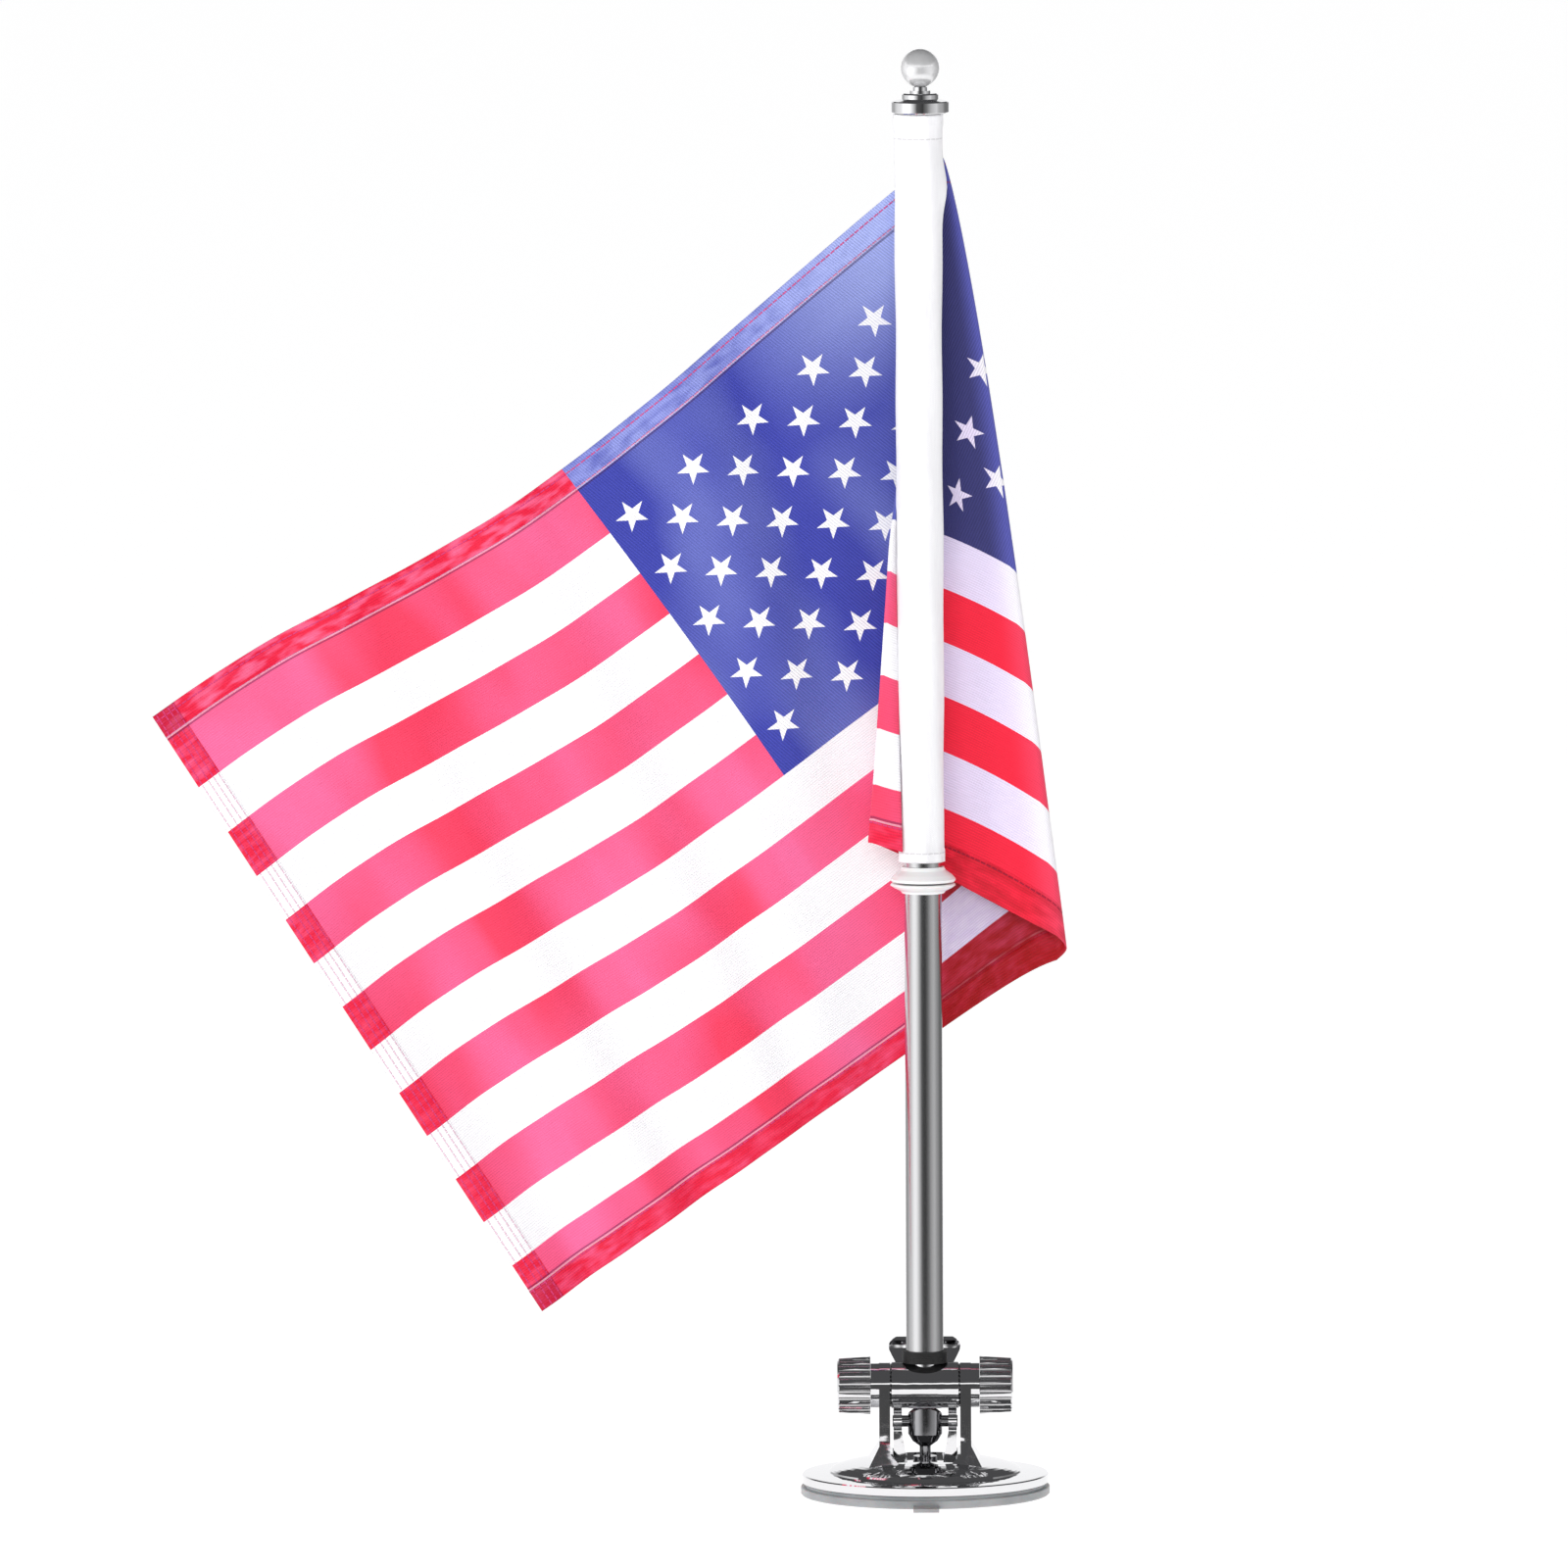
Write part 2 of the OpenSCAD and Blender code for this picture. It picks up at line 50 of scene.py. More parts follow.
class Nodes:
    """Short names for building one node tree."""

    def __init__(self, tree):
        self.tree = tree

    def link(self, source, socket):
        if hasattr(source, "is_output"):
            self.tree.links.new(source, socket)
        else:
            socket.default_value = source

    def add(self, kind, **settings):
        node = self.tree.nodes.new(kind)
        for name, value in settings.items():
            setattr(node, name, value)
        return node

    def math(self, operation, a, b=0.0, c=0.0):
        node = self.add("ShaderNodeMath", operation=operation)
        for socket, value in zip(node.inputs, (a, b, c)):
            self.link(value, socket)
        return node.outputs[0]

    def mix(self, factor, a, b):
        node = self.add("ShaderNodeMix", data_type="RGBA")
        self.link(factor, node.inputs["Factor"])
        self.link(a, node.inputs["A"])
        self.link(b, node.inputs["B"])
        return node.outputs["Result"]

    def noise(self, vector, scale, detail=2.0, roughness=0.5):
        node = self.add("ShaderNodeTexNoise")
        self.link(vector, node.inputs["Vector"])
        node.inputs["Scale"].default_value = scale
        node.inputs["Detail"].default_value = detail
        node.inputs["Roughness"].default_value = roughness
        return node.outputs["Fac"]

    def scaled(self, vector, scale):
        node = self.add("ShaderNodeMapping")
        self.link(vector, node.inputs["Vector"])
        node.inputs["Scale"].default_value = scale
        return node.outputs["Vector"]

    def object_space(self):
        return self.add("ShaderNodeTexCoord").outputs["Object"]

    def split(self, vector):
        node = self.add("ShaderNodeSeparateXYZ")
        self.link(vector, node.inputs[0])
        return node.outputs

    def in_range(self, value, low, high):
        node = self.add("ShaderNodeMapRange", clamp=True)
        self.link(value, node.inputs["Value"])
        node.inputs["From Min"].default_value = low
        node.inputs["From Max"].default_value = high
        return node.outputs[0]

    def near(self, value, centre, width):
        """1 within width of centre, fading out over a quarter of it."""
        away = self.math("ABSOLUTE", self.math("SUBTRACT", value, centre))
        return self.in_range(away, width * 1.25, width)

    def bump(self, height, distance, strength=1.0, normal=None):
        node = self.add("ShaderNodeBump")
        self.link(height, node.inputs["Height"])
        node.inputs["Distance"].default_value = distance
        node.inputs["Strength"].default_value = strength
        if normal is not None:
            self.link(normal, node.inputs["Normal"])
        return node.outputs["Normal"]


def new_material(name, colour, roughness, metallic=0.0):
    material = bpy.data.materials.new(name)
    material.use_nodes = True
    shader = material.node_tree.nodes["Principled BSDF"]
    shader.inputs["Base Color"].default_value = (*colour, 1.0)
    shader.inputs["Roughness"].default_value = roughness
    shader.inputs["Metallic"].default_value = metallic
    return material, shader, Nodes(material.node_tree)


def dress(node, material):
    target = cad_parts[node]
    target.data.materials.clear()
    target.data.materials.append(material)


# ---------------------------------------------------------------- metals


def chrome(name, roughness=0.04, colour=(0.82, 0.82, 0.83)):
    """Plated zinc: a mirror with faint casting waviness and a little handling haze."""
    material, shader, n = new_material(name, colour, roughness, 1.0)
    place = n.object_space()
    haze = n.noise(place, 90.0, 4.0, 0.6)
    rough = n.math("MULTIPLY_ADD", n.in_range(haze, 0.5, 0.8), 0.05, roughness)
    n.link(rough, shader.inputs["Roughness"])
    wave = n.noise(place, 160.0, 1.0)
    n.link(n.bump(wave, 0.00035, 0.25), shader.inputs["Normal"])
    return material


def pearl_nickel(name):
    """Satin plating: soft reflections over a pale body."""
    material, shader, n = new_material(name, (0.84, 0.84, 0.85), 0.3, 0.5)
    haze = n.noise(n.object_space(), 60.0, 2.0)
    n.link(n.math("MULTIPLY_ADD", haze, 0.08, 0.18), shader.inputs["Roughness"])
    n.link(n.bump(haze, 0.00003, 0.2), shader.inputs["Normal"])
    return material


def satin_steel(name):
    """Drawn stainless tube: fine scratches along the pole and a soft, wide gloss."""
    material, shader, n = new_material(name, (0.58, 0.58, 0.585), 0.22, 1.0)
    place = n.object_space()
    lines = n.noise(n.scaled(place, (900.0, 900.0, 9.0)), 1.0, 2.0, 0.6)
    rough = n.math("MULTIPLY_ADD", lines, 0.03, 0.20)
    n.link(rough, shader.inputs["Roughness"])
    n.link(n.bump(lines, 0.000002, 0.1), shader.inputs["Normal"])
    return material


# ---------------------------------------------------------------- rubber and plastic


def black_rubber(name):
    material, shader, n = new_material(name, (0.012, 0.012, 0.012), 0.55)
    z = n.split(n.object_space())[2]
    ribs = n.math("SINE", n.math("MULTIPLY", z, 2 * math.pi / (0.8 * MM)))
    grain = n.noise(n.object_space(), 1800.0, 3.0)
    height = n.math("MULTIPLY_ADD", ribs, 0.5, grain)
    n.link(n.bump(height, 0.00012, 0.7), shader.inputs["Normal"])
    rough = n.math("MULTIPLY_ADD", grain, 0.25, 0.42)
    n.link(rough, shader.inputs["Roughness"])
    return material


def clear_rubber(name):
    """Greyish translucent suction rubber, a little cloudy."""
    material, shader, n = new_material(name, (0.33, 0.34, 0.35), 0.32)
    place = n.object_space()
    cloud = n.noise(place, 45.0, 3.0)
    tint = n.mix(n.in_range(cloud, 0.3, 0.7), (0.26, 0.27, 0.28, 1.0), (0.40, 0.41, 0.42, 1.0))
    n.link(tint, shader.inputs["Base Color"])
    shader.inputs["Subsurface Weight"].default_value = 0.25
    shader.inputs["Subsurface Scale"].default_value = 0.004
    grain = n.noise(place, 900.0, 2.0)
    n.link(n.math("MULTIPLY_ADD", grain, 0.2, 0.24), shader.inputs["Roughness"])
    n.link(n.bump(grain, 0.00008, 0.4), shader.inputs["Normal"])
    return material


def moulded_plastic(name, colour, roughness):
    material, shader, n = new_material(name, colour, roughness)
    place = n.object_space()
    grain = n.noise(place, 700.0, 3.0)
    shade = n.mix(n.noise(place, 60.0), (*[c * 0.94 for c in colour], 1.0), (*colour, 1.0))
    n.link(shade, shader.inputs["Base Color"])
    n.link(n.math("MULTIPLY_ADD", grain, 0.15, roughness - 0.07), shader.inputs["Roughness"])
    n.link(n.bump(grain, 0.00005, 0.3), shader.inputs["Normal"])
    shader.inputs["Subsurface Weight"].default_value = 0.08
    shader.inputs["Subsurface Scale"].default_value = 0.002
    return material


def dress_hardware():
    mirror = chrome("plated_chrome")
    dark_mirror = chrome("machined_steel", 0.09, (0.30, 0.30, 0.31))
    tube = satin_steel("pole_steel")
    rubber = black_rubber("washer_rubber")
    pad = clear_rubber("suction_rubber")
    white = moulded_plastic("ring_plastic", (0.90, 0.90, 0.90), 0.22)
    grey = moulded_plastic("spacer_plastic", (0.28, 0.28, 0.29), 0.4)
    for node in ("base_housing", "cam_plate", "collar_left", "collar_right", "lever", "knob_left",
                 "knob_right", "tilt_barrel", "pole_cap"):
        dress(node, mirror)
    dress("finial_ball", pearl_nickel("finial_nickel"))
    for node in ("suction_stem", "lever_pin", "knob_screw_left", "knob_screw_right", "pole_stud",
                 "pole_foot_plug", "pole_top_plug", "finial_stud"):
        dress(node, dark_mirror)
    dress("pole_tube", tube)
    dress("rubber_washer", rubber)
    dress("suction_pad", pad)
    dress("ring_upper", white)
    dress("ring_lower", white)
    dress("ring_spacer", grey)


# ---------------------------------------------------------------- flag sizes

# Widths are measured down from the top edge, and the stars back from the canton's fly side.
# The stars stand in two lattices, shifted against each other by one STAR_COLUMN and one STAR_ROW.
HOIST = 305 * MM
FLY = 440 * MM
TOP_STRIPE = 35 * MM
STRIPE = 22.4 * MM
CANTON_HIGH = TOP_STRIPE + 6 * STRIPE
CANTON_LONG = FLY - 208 * MM
STAR_R = 7.4 * MM
STAR_COLUMN = 16.6 * MM
STAR_ROW = 14.5 * MM
STAR_FIRST_COLUMN = 12 * MM
STAR_FIRST_ROW = 34.5 * MM
HEM = 10.8 * MM
FLY_HEM = 11 * MM

# ---------------------------------------------------------------- flag print and cloth

# The print is full on the obverse; it shows through paler on the reverse.
RED = (0.92, 0.016, 0.050, 1.0)
# Painted highlight: the obverse red turns lighter towards the right fold
RED_FOLD_HIGHLIGHT = (0.86, 0.060, 0.130, 1.0)
RED_THROUGH = (0.86, 0.045, 0.110, 1.0)
PINK_THROUGH = (0.91, 0.140, 0.330, 1.0)
RED_SHADED = (0.34, 0.0, 0.003, 1.0)
BLUE = (0.040, 0.040, 0.170, 1.0)
# Painted highlight: the obverse blue turns lighter towards the right fold
BLUE_FOLD_HIGHLIGHT = (0.13, 0.14, 0.60, 1.0)
BLUE_THROUGH = (0.046, 0.056, 0.380, 1.0)
BLUE_GLOW = (0.47, 0.54, 0.92, 1.0)
WHITE = (0.92, 0.91, 0.94, 1.0)
# Painted shade: a dimmer lavender white for the obverse, away from the right fold
WHITE_PAINTED_SHADE = (0.80, 0.71, 0.93, 1.0)
WHITE_SHADED = (0.62, 0.52, 0.74, 1.0)
HEM_RED = (0.76, 0.010, 0.050, 1.0)
# Painted highlight: pale pink patches on the top hem where it puckers
HEM_PINK_HIGHLIGHT = (0.87, 0.120, 0.250, 1.0)
# Painted light: the top hem over the canton is a pale lit blue instead of the full navy print
HEM_BLUE_PAINTED_LIGHT = (0.240, 0.270, 0.660, 1.0)
THREAD = (0.66, 0.05, 0.20, 1.0)
DEEP_THREAD = (0.30, 0.004, 0.030, 1.0)
PALE_THREAD = (0.76, 0.48, 0.60, 1.0)
HEM_CORNER = (0.40, 0.0, 0.03, 1.0)
# Painted shadow under each hem's inner edge, and painted highlight on its rounded bead
HEM_EDGE_SHADOW = (0.05, 0.01, 0.06, 1.0)
BEAD_HIGHLIGHT = (0.80, 0.66, 0.82, 1.0)
# Rows of stitches: how far from the top, bottom and fly edges, and the length of a stitch
TOP_ROWS = (2.6 * MM, 10.2 * MM)
LOW_ROWS = (9.6 * MM,)
FLY_ROWS = (1.8 * MM, 5.0 * MM, 7.6 * MM, 10.2 * MM)
STITCH_PITCH = 2.7 * MM
STITCH_WIDE = 0.26 * MM
# Distance between the ribs of the weave, along and across the stripes
RIB_PITCH = 1.05 * MM
PICK_PITCH = 1.15 * MM


def star_mask(n, across, down, columns, rows, shift):
    """1 inside the stars of one lattice: columns by rows of them, two pitches apart."""
    a = n.math("SUBTRACT", across, shift * STAR_COLUMN)
    d = n.math("SUBTRACT", down, shift * STAR_ROW)
    column = n.math("ROUND", n.math("DIVIDE", a, 2 * STAR_COLUMN))
    row = n.math("ROUND", n.math("DIVIDE", d, 2 * STAR_ROW))
    column = n.math("MINIMUM", n.math("MAXIMUM", column, 0.0), columns - 1)
    row = n.math("MINIMUM", n.math("MAXIMUM", row, 0.0), rows - 1)
    x = n.math("SUBTRACT", a, n.math("MULTIPLY", column, 2 * STAR_COLUMN))
    y = n.math("SUBTRACT", n.math("MULTIPLY", row, 2 * STAR_ROW), d)
    radius = n.math("SQRT", n.math("ADD", n.math("MULTIPLY", x, x), n.math("MULTIPLY", y, y)))
    angle = n.math("ARCTAN2", x, y)
    fifth = 2 * math.pi / 5
    nearest = n.math("ROUND", n.math("DIVIDE", angle, fifth))
    turn = n.math("ABSOLUTE", n.math("SUBTRACT", angle, n.math("MULTIPLY", nearest, fifth)))
    edge = math.radians(72)
    reach = n.math("MULTIPLY", radius, n.math("COSINE", n.math("SUBTRACT", turn, edge)))
    limit = STAR_R * math.cos(edge)
    return n.in_range(reach, limit + 0.06 * MM, limit - 0.06 * MM)


def stitch_row(n, across, along, at):
    """A row of straight stitches that runs along one direction at a fixed place across it."""
    line = n.near(across, at, STITCH_WIDE)
    step = n.math("FRACT", n.math("DIVIDE", along, STITCH_PITCH))
    dash = n.near(step, 0.5, 0.36)
    return n.math("MULTIPLY", line, dash)


def attribute(n, name):
    return n.add("ShaderNodeAttribute", attribute_name=name).outputs["Fac"]


def opposite(n, mask):
    return n.math("SUBTRACT", 1.0, mask)


class Print:
    """What is printed at each place of the cloth, as masks."""

    def __init__(self, n):
        self.uv = n.add("ShaderNodeUVMap", uv_map="cloth").outputs["UV"]
        self.u, self.v = n.split(self.uv)[:2]
        self.down = n.math("SUBTRACT", HOIST, self.v)
        self.to_fly = n.math("SUBTRACT", FLY, self.u)
        self.reverse = attribute(n, "reverse")
        pair = n.math("DIVIDE", n.math("SUBTRACT", self.down, TOP_STRIPE), 2 * STRIPE)
        is_red = n.math("GREATER_THAN", n.math("FRACT", pair), 0.5)
        is_red = n.math("MAXIMUM", is_red, n.math("LESS_THAN", self.down, TOP_STRIPE))
        is_red = n.math("MAXIMUM", is_red, n.math("LESS_THAN", self.v, 0.5 * STRIPE))
        self.in_canton = n.math("MULTIPLY", n.math("LESS_THAN", self.u, CANTON_LONG),
                                n.math("LESS_THAN", self.down, CANTON_HIGH))
        across = n.math("SUBTRACT", CANTON_LONG - STAR_FIRST_COLUMN, self.u)
        star_down = n.math("SUBTRACT", self.down, STAR_FIRST_ROW)
        stars = n.math("MAXIMUM", star_mask(n, across, star_down, 6, 5, 0),
                       star_mask(n, across, star_down, 5, 4, 1))
        white_stripe = n.math("MULTIPLY", opposite(n, self.in_canton), opposite(n, is_red))
        star = n.math("MULTIPLY", self.in_canton, stars)
        self.is_white = n.math("MAXIMUM", white_stripe, star)
        self.top_hem, self.low_hem, self.fly_hem = (
            n.in_range(away, wide + 0.15 * MM, wide)
            for away, wide in ((self.down, HEM), (self.v, HEM), (self.to_fly, FLY_HEM)))
        self.layers = n.math("ADD", n.math("ADD", self.top_hem, self.low_hem), self.fly_hem)
        # Long soft patches, where the hems pucker and catch painted sheen
        self.mottle = n.noise(n.scaled(self.uv, (95.0, 300.0, 1.0)), 1.0, 1.5, 0.5)


def ink_colour(n, cloth, fold_light):
    """Red and blue print: full on the obverse, paler where light comes through to the reverse."""
    # Light comes through the nylon in soft bands across the stripes.
    bands = n.noise(n.scaled(cloth.uv, (21.0, 6.0, 1.0)), 1.0, 2.0, 0.45)
    through = n.mix(n.in_range(bands, 0.36, 0.66), RED_THROUGH, PINK_THROUGH)
    # Painted highlight: on the obverse the red and blue lighten towards the right fold
    red = n.mix(cloth.reverse, n.mix(fold_light, RED, RED_FOLD_HIGHLIGHT), through)
    blue_obverse = n.mix(n.math("MULTIPLY", fold_light, 0.7), BLUE, BLUE_FOLD_HIGHLIGHT)
    blue = n.mix(cloth.reverse, blue_obverse, BLUE_THROUGH)
    return n.mix(cloth.in_canton, red, blue)


def hemmed_ink(n, cloth, ink):
    """Hems are folded onto the reverse, so they show the full print, with painted sheen and
    highlights where they pucker.
    """
    hemmed = n.math("MULTIPLY", n.in_range(cloth.layers, 0.0, 0.6), cloth.reverse)
    # The top hem over the canton is given a pale blue of painted light
    full_print = n.mix(cloth.in_canton, HEM_RED, HEM_BLUE_PAINTED_LIGHT)
    # Painted sheen: the hems' full print fades in patches to the paler reverse colour where they
    # pucker
    pucker_sheen = n.math("MULTIPLY", n.in_range(cloth.mottle, 0.40, 0.75), 0.7)
    patchy = n.mix(pucker_sheen, full_print, ink)
    # Painted highlight: pale pink patches on the top hem over the red
    pale_pucker_highlight = n.math("MULTIPLY", n.in_range(cloth.mottle, 0.45, 0.70), cloth.top_hem)
    red_pucker_highlight = n.math("MULTIPLY", pale_pucker_highlight, opposite(n, cloth.in_canton))
    patchy = n.mix(red_pucker_highlight, patchy, HEM_PINK_HIGHLIGHT)
    corner = n.math("MULTIPLY", n.in_range(cloth.layers, 1.0, 2.0), 0.6)
    patchy = n.mix(corner, patchy, HEM_CORNER)
    ink = n.mix(hemmed, ink, patchy)
    # Painted shade: mottled patches of deep shaded red on the obverse's bottom hem
    front_hem = n.math("MULTIPLY", cloth.low_hem, opposite(n, cloth.reverse))
    hem_shade_patch = n.math("MULTIPLY", n.in_range(cloth.mottle, 0.75, 0.35), 0.45)
    return n.mix(n.math("MULTIPLY", front_hem, hem_shade_patch), ink, RED_SHADED)


def canton_glow(n, cloth):
    """Broad soft patches where light catches the canton, most of all along its top."""
    patches = n.noise(n.scaled(cloth.uv, (17.0, 9.0, 1.0)), 1.0, 1.5)
    patches = n.math("MULTIPLY", n.in_range(patches, 0.42, 0.72), 0.30)
    high = n.math("MULTIPLY", n.in_range(cloth.down, 72 * MM, 24 * MM),
                  n.in_range(cloth.u, 150 * MM, 50 * MM))
    glow = n.math("MAXIMUM", patches, n.math("MULTIPLY", high, 0.85))
    return n.math("MULTIPLY", n.math("MULTIPLY", glow, cloth.reverse), cloth.in_canton)


def stitching(n, cloth):
    """All rows of stitches: across the top and bottom hems and down the fly hem."""
    rows = [stitch_row(n, cloth.down, cloth.u, at) for at in TOP_ROWS]
    rows += [stitch_row(n, cloth.v, cloth.u, at) for at in LOW_ROWS]
    rows += [stitch_row(n, cloth.to_fly, cloth.v, at) for at in FLY_ROWS]
    sewn = rows[0]
    for row in rows[1:]:
        sewn = n.math("MAXIMUM", sewn, row)
    return sewn


def hem_line(n, cloth, colour, inwards, strength, tone):
    """A thin line that runs along the inner edges of the top and bottom hems, on the reverse:
    painted shadow and painted highlight.
    """
    line = n.math("MAXIMUM", n.near(cloth.down, HEM + inwards, 0.35 * MM),
                  n.near(cloth.v, HEM + inwards, 0.35 * MM))
    line = n.math("MULTIPLY", n.math("MULTIPLY", line, cloth.reverse), strength)
    return n.mix(line, colour, tone)


def inside_fold(n, cloth, colour):
    """The deep shade of the layer that hangs behind the front one."""
    blotch = n.math("MULTIPLY_ADD", n.in_range(cloth.mottle, 0.35, 0.7), -0.22, 0.98)
    deep = n.mix(cloth.in_canton, RED_SHADED, BLUE)
    deep = n.mix(cloth.is_white, deep, WHITE_SHADED)
    amount = n.math("MULTIPLY", attribute(n, "shaded"), cloth.reverse)
    return n.mix(n.math("MULTIPLY", amount, blotch), colour, deep)


def weave_height(n, cloth):
    """Fine ribs along the stripes and slanting ones across them, stronger in the canton."""
    rib = n.math("SINE", n.math("MULTIPLY", cloth.v, 2 * math.pi / RIB_PITCH))
    slant = n.math("MULTIPLY_ADD", cloth.v, -0.23, cloth.u)
    pick = n.math("SINE", n.math("MULTIPLY", slant, 2 * math.pi / PICK_PITCH))
    slub = n.noise(n.scaled(cloth.uv, (120.0, 2400.0, 1.0)), 1.0, 3.0)
    pick = n.math("MULTIPLY", pick, n.math("MULTIPLY_ADD", cloth.in_canton, 0.8, 0.15))
    rib = n.math("MULTIPLY", rib, n.math("MULTIPLY_ADD", cloth.in_canton, -0.4, 0.55))
    return n.math("ADD", n.math("ADD", rib, pick), slub)


def flag_material():
    material, shader, n = new_material("printed_nylon", (0.8, 0.1, 0.1), 0.46)
    cloth = Print(n)
    fold_light = attribute(n, "fold_light")
    ink = hemmed_ink(n, cloth, ink_colour(n, cloth, fold_light))
    ink = n.mix(canton_glow(n, cloth), ink, BLUE_GLOW)
    # Painted shade: obverse whites are dimmed, back to full white near the right fold
    white = n.mix(cloth.reverse, n.mix(fold_light, WHITE_PAINTED_SHADE, WHITE), WHITE)
    colour = n.mix(cloth.is_white, ink, white)

    rows = stitching(n, cloth)
    thread = n.mix(cloth.reverse, DEEP_THREAD, THREAD)
    thread = n.mix(cloth.is_white, thread, PALE_THREAD)
    colour = n.mix(n.math("MULTIPLY", rows, 0.85), colour, thread)
    # Painted shadow just past the hems' inner edges, then a painted highlight on their beads
    colour = hem_line(n, cloth, colour, 0.65 * MM, 0.55, HEM_EDGE_SHADOW)
    colour = hem_line(n, cloth, colour, -0.25 * MM, 0.45, BEAD_HIGHLIGHT)
    colour = inside_fold(n, cloth, colour)

    weave = weave_height(n, cloth)
    woven = n.add("ShaderNodeMix", data_type="RGBA", blend_type="MULTIPLY")
    woven.inputs["Factor"].default_value = 1.0
    n.link(colour, woven.inputs["A"])
    n.link(n.math("MULTIPLY_ADD", weave, 0.16, 0.92), woven.inputs["B"])
    n.link(woven.outputs["Result"], shader.inputs["Base Color"])

    relief = n.bump(weave, 0.00009, 0.8)
    pucker = n.noise(n.scaled(cloth.uv, (260.0, 260.0, 1.0)), 1.0, 2.0)
    hems = n.math("MULTIPLY", n.in_range(cloth.layers, 0.0, 1.0), pucker)
    relief = n.bump(hems, 0.0009, 0.6, relief)
    n.link(n.bump(rows, 0.0003, 0.8, relief), shader.inputs["Normal"])
    shader.inputs["Specular IOR Level"].default_value = 0.3
    shader.inputs["Sheen Weight"].default_value = 0.10
    shader.inputs["Sheen Roughness"].default_value = 0.4
    shader.inputs["Sheen Tint"].default_value = (1.0, 0.9, 1.0, 1.0)
    shader.inputs["Subsurface Weight"].default_value = 0.0
    return material


# ---------------------------------------------------------------- flag shape

# The same folded rows as the CAD flag: hoist seam, front fold, behind the sleeve, right fold, fly.
# LOW and HIGH values belong to the lowest and the highest row; pairs are (x, z).
SEAM_R = 10.6 * MM
HOIST_LOW, HOIST_HIGH = 278 * MM, 577 * MM
SEAM_ANGLE_LOW, SEAM_ANGLE_HIGH = math.radians(35), math.radians(-50)
FRONT_FOLD_LOW, FRONT_FOLD_HIGH = (-23.2 * MM, 282 * MM), (-12 * MM, 577 * MM)
FRONT_FOLD_Y, FRONT_FOLD_R = -3.2 * MM, 1.3 * MM
STRIP_BOW = 0.9 * MM
# Above this share of the hoist the front fold slips round behind the sleeve
TUCK_FROM, TUCK_TO = 0.42, 0.60
TUCK_X, TUCK_Y = 3.4 * MM, 12.5 * MM
# Behind the sleeve the cloth keeps this far from the pole's axis, and hangs a little hollow
WRAP_R = 11.5 * MM
MIDDLE_Y = 15.8 * MM
HOLLOW = 1.6 * MM
RIGHT_FOLD_LOW, RIGHT_FOLD_HIGH = (61.8 * MM, 233.7 * MM), (9.6 * MM, 577.6 * MM)
RIGHT_FOLD_R_LOW, RIGHT_FOLD_R_HIGH = 4.2 * MM, 2.4 * MM
# The right fold hangs lower above its corner; the slip round it fades out along the row
FOLD_DROP = 2.4 * MM
FOLD_SLANT = 0.85
SLIP_FADE = 16
FLY_LOW, FLY_HIGH = (-164.5 * MM, 79 * MM), (-330.4 * MM, 336.6 * MM)
FLY_Y = 9 * MM
# Sag of the highest row and of the middle one, steeper towards the fly than near the fold
TOP_SAG = 19.4 * MM
MID_SAG = 3.9 * MM
SAG_SHAPE_NEAR, SAG_SHAPE_FAR = 1.4, 2.4
# Waves of the cloth left of the pole: size, length, and phase in the lowest and highest row
WAVES = ((2.3 * MM, 88 * MM, 0.0, 1.1), (1.1 * MM, 47 * MM, 1.0, -1.3))
WAVES_FROM, WAVES_FULL = -20 * MM, -80 * MM
LONGEST_RUN = 418 * MM
# Half the thickness of the nylon, and how far a hem and the bead at its inner edge stand out
CLOTH_HALF = 0.12 * MM
HEM_LAYER = 0.28 * MM
HEM_BEAD_HIGH, FLY_BEAD_HIGH = 0.38 * MM, 0.10 * MM
BEAD_INSET, BEAD_WIDE = 0.7 * MM, 0.75 * MM
# How far the stripes in front of the right fold bend up and down
STRIPE_CURVE = 2.4 * MM
# Cloth between the hoist seam and the right fold
TO_FOLD_LOW, TO_FOLD_HIGH, TO_FOLD_BOW = 140 * MM, 22 * MM, 5.7 * MM


def mix(a, b, t):
    return a + (b - a) * t


def ease(t):
    return 1 - (1 - np.minimum(t, 1)) ** 2


def smooth(t):
    t = np.clip(t, 0, 1)
    return t * t * (3 - 2 * t)


def place(x, y, z):
    return np.stack(np.broadcast_arrays(x, y, z), axis=-1)


def front_fold(w):
    x = mix(FRONT_FOLD_HIGH[0], FRONT_FOLD_LOW[0], np.maximum(0, 1 - w / 0.55) ** 1.1)
    tuck = smooth((w - TUCK_FROM) / (TUCK_TO - TUCK_FROM))
    z = mix(FRONT_FOLD_LOW[1], FRONT_FOLD_HIGH[1], w)
    return x + TUCK_X * tuck, FRONT_FOLD_Y + TUCK_Y * tuck, z


def right_fold(w):
    x = mix(RIGHT_FOLD_HIGH[0], RIGHT_FOLD_LOW[0], (1 - w) ** 0.79)
    return x, mix(RIGHT_FOLD_LOW[1], RIGHT_FOLD_HIGH[1], w) - FOLD_DROP * smooth(w / 0.2)


def clear_of_sleeve(points):
    radius = np.hypot(points[..., 0], points[..., 1])
    out = np.maximum(WRAP_R, radius) / radius
    return points * np.stack([out, out, np.ones_like(out)], axis=-1)


